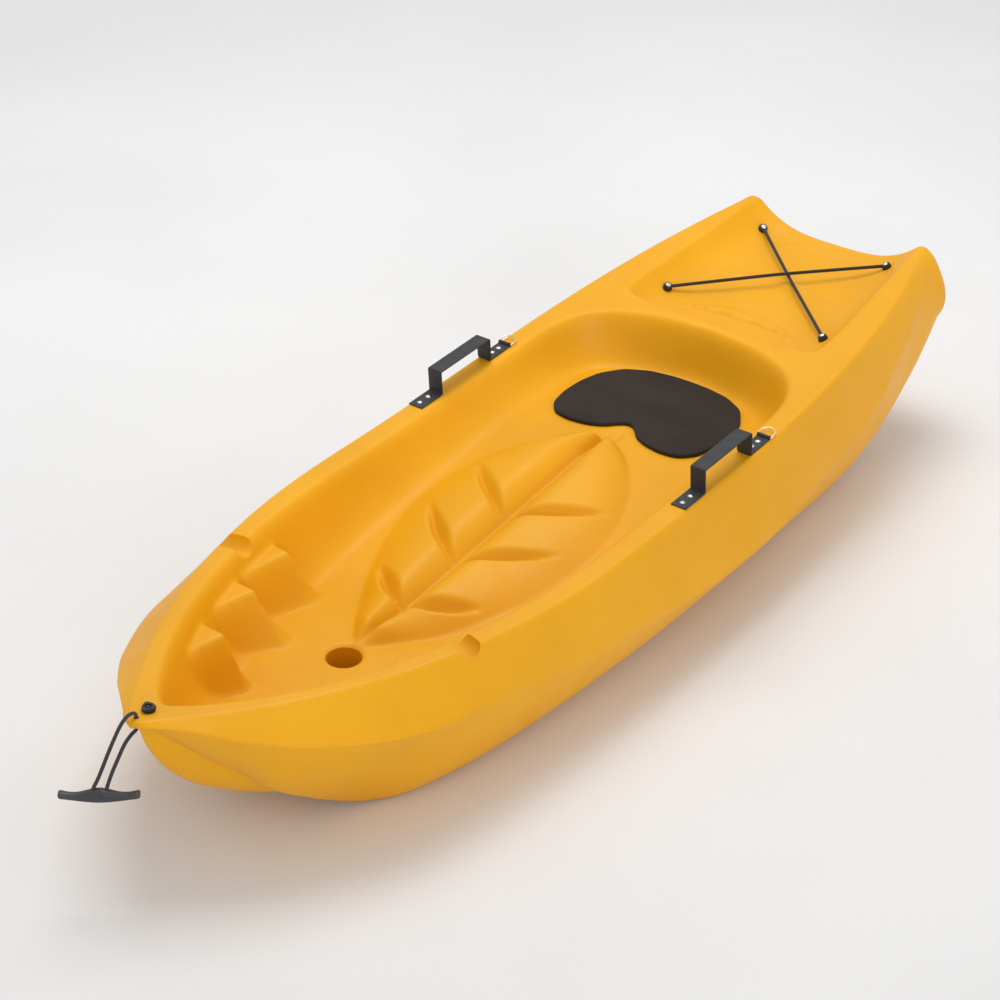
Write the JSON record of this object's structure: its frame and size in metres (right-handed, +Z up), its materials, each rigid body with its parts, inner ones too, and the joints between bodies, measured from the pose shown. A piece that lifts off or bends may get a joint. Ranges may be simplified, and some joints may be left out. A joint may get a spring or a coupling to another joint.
{
  "type": "sit-on-top kayak",
  "caption": "Small hollow-moulded sit-on-top kayak with a seat pad, folding side handles with tie rings, a bow rope and toggle, a drain plug and elastic cords over a rear well.",
  "frame": {"origin": "on the ground under the middle of the hull's length", "axes": "+Z up, bow towards -Y, +X to the paddler's left"},
  "size_m": [0.64, 1.9673, 0.3525],
  "materials": {
    "hull": "satin moulded polyethylene",
    "pad": "matt closed-cell foam",
    "fitting": "satin black nylon",
    "rubber": "matt",
    "cord": "woven cover",
    "toggle": "satin moulded plastic",
    "steel": "bright stainless",
    "brass": "turned",
    "ring": "pale wire",
    "strap": "tight flat weave"
  },
  "bodies": {
    "hull_body": {"hull": "hull", "seat_pad": "pad", "drain_insert": "fitting", "bungee_cord_upper": "cord", "bungee_cord_lower": "cord", "bungee_eyelet_front_left": "fitting", "bungee_eyelet_front_right": "fitting", "bungee_eyelet_rear_left": "fitting", "bungee_eyelet_rear_right": "fitting", "bungee_screws": "steel", "bungee_inserts": "brass", "handle_inserts": "brass", "left_front_foot": "strap", "left_rear_foot": "strap", "left_foot_screws": "steel", "right_front_foot": "strap", "right_rear_foot": "strap", "right_foot_screws": "steel"},
    "plug_lift": {"drain_seal": "rubber"},
    "plug": {"drain_plug": "fitting"},
    "bow_line": {"bow_rope": "cord", "rope_toggle": "toggle"},
    "left_front_leg": {"left_front_leg": "strap"},
    "left_grip": {"left_grip": "strap"},
    "left_rear_leg": {"left_rear_leg": "strap"},
    "left_ring": {"left_ring": "ring"},
    "right_front_leg": {"right_front_leg": "strap"},
    "right_grip": {"right_grip": "strap"},
    "right_rear_leg": {"right_rear_leg": "strap"},
    "right_ring": {"right_ring": "ring"}
  },
  "joints": [
    {"name": "plug_turn", "type": "hinge", "parent": "plug_lift", "child": "plug", "pos_m": [0, -0.89325, 0.27], "axis": [0, 0, 1], "range_deg": [0, 1080]},
    {"name": "plug_rise", "type": "slide", "parent": "hull_body", "child": "plug_lift", "axis": [0, 0, 1], "range_m": [0, 0.012]},
    {"name": "bow_line_swing", "type": "hinge", "parent": "hull_body", "child": "bow_line", "pos_m": [0, -0.91725, 0.262], "axis": [0, 0, 1], "range_deg": [-25, 25]},
    {"name": "left_handle_fold", "type": "hinge", "parent": "hull_body", "child": "left_front_leg", "pos_m": [0.265, 0.06276, 0.26901], "axis": [-1, 0, 0], "range_deg": [0, 70], "stiffness_Nm_per_rad": 0.02},
    {"name": "left_grip_fold", "type": "hinge", "parent": "left_front_leg", "child": "left_grip", "pos_m": [0.265, 0.05815, 0.30879], "axis": [1, 0, 0], "range_deg": [0, 70]},
    {"name": "left_rear_leg_fold", "type": "hinge", "parent": "left_grip", "child": "left_rear_leg", "pos_m": [0.265, 0.18986, 0.31743], "axis": [-1, 0, 0], "range_deg": [0, 70]},
    {"name": "left_ring_swing", "type": "hinge", "parent": "hull_body", "child": "left_ring", "pos_m": [0.265, 0.25047, 0.28262], "axis": [1, 0, 0], "range_deg": [-5, 105]},
    {"name": "right_handle_fold", "type": "hinge", "parent": "hull_body", "child": "right_front_leg", "pos_m": [-0.265, 0.06276, 0.26901], "axis": [-1, 0, 0], "range_deg": [0, 70], "stiffness_Nm_per_rad": 0.02},
    {"name": "right_grip_fold", "type": "hinge", "parent": "right_front_leg", "child": "right_grip", "pos_m": [-0.265, 0.05815, 0.30879], "axis": [1, 0, 0], "range_deg": [0, 70]},
    {"name": "right_rear_leg_fold", "type": "hinge", "parent": "right_grip", "child": "right_rear_leg", "pos_m": [-0.265, 0.18986, 0.31743], "axis": [-1, 0, 0], "range_deg": [0, 70]},
    {"name": "right_ring_swing", "type": "hinge", "parent": "hull_body", "child": "right_ring", "pos_m": [-0.265, 0.25047, 0.28262], "axis": [1, 0, 0], "range_deg": [-5, 105]}
  ],
  "couplings": [
    {"joint": "plug_turn", "follows": "plug_rise", "rad_per_m": 1570.8},
    {"joint": "left_grip_fold", "follows": "left_handle_fold", "ratio": 1},
    {"joint": "left_rear_leg_fold", "follows": "left_handle_fold", "ratio": 1},
    {"joint": "right_grip_fold", "follows": "right_handle_fold", "ratio": 1},
    {"joint": "right_rear_leg_fold", "follows": "right_handle_fold", "ratio": 1}
  ]
}
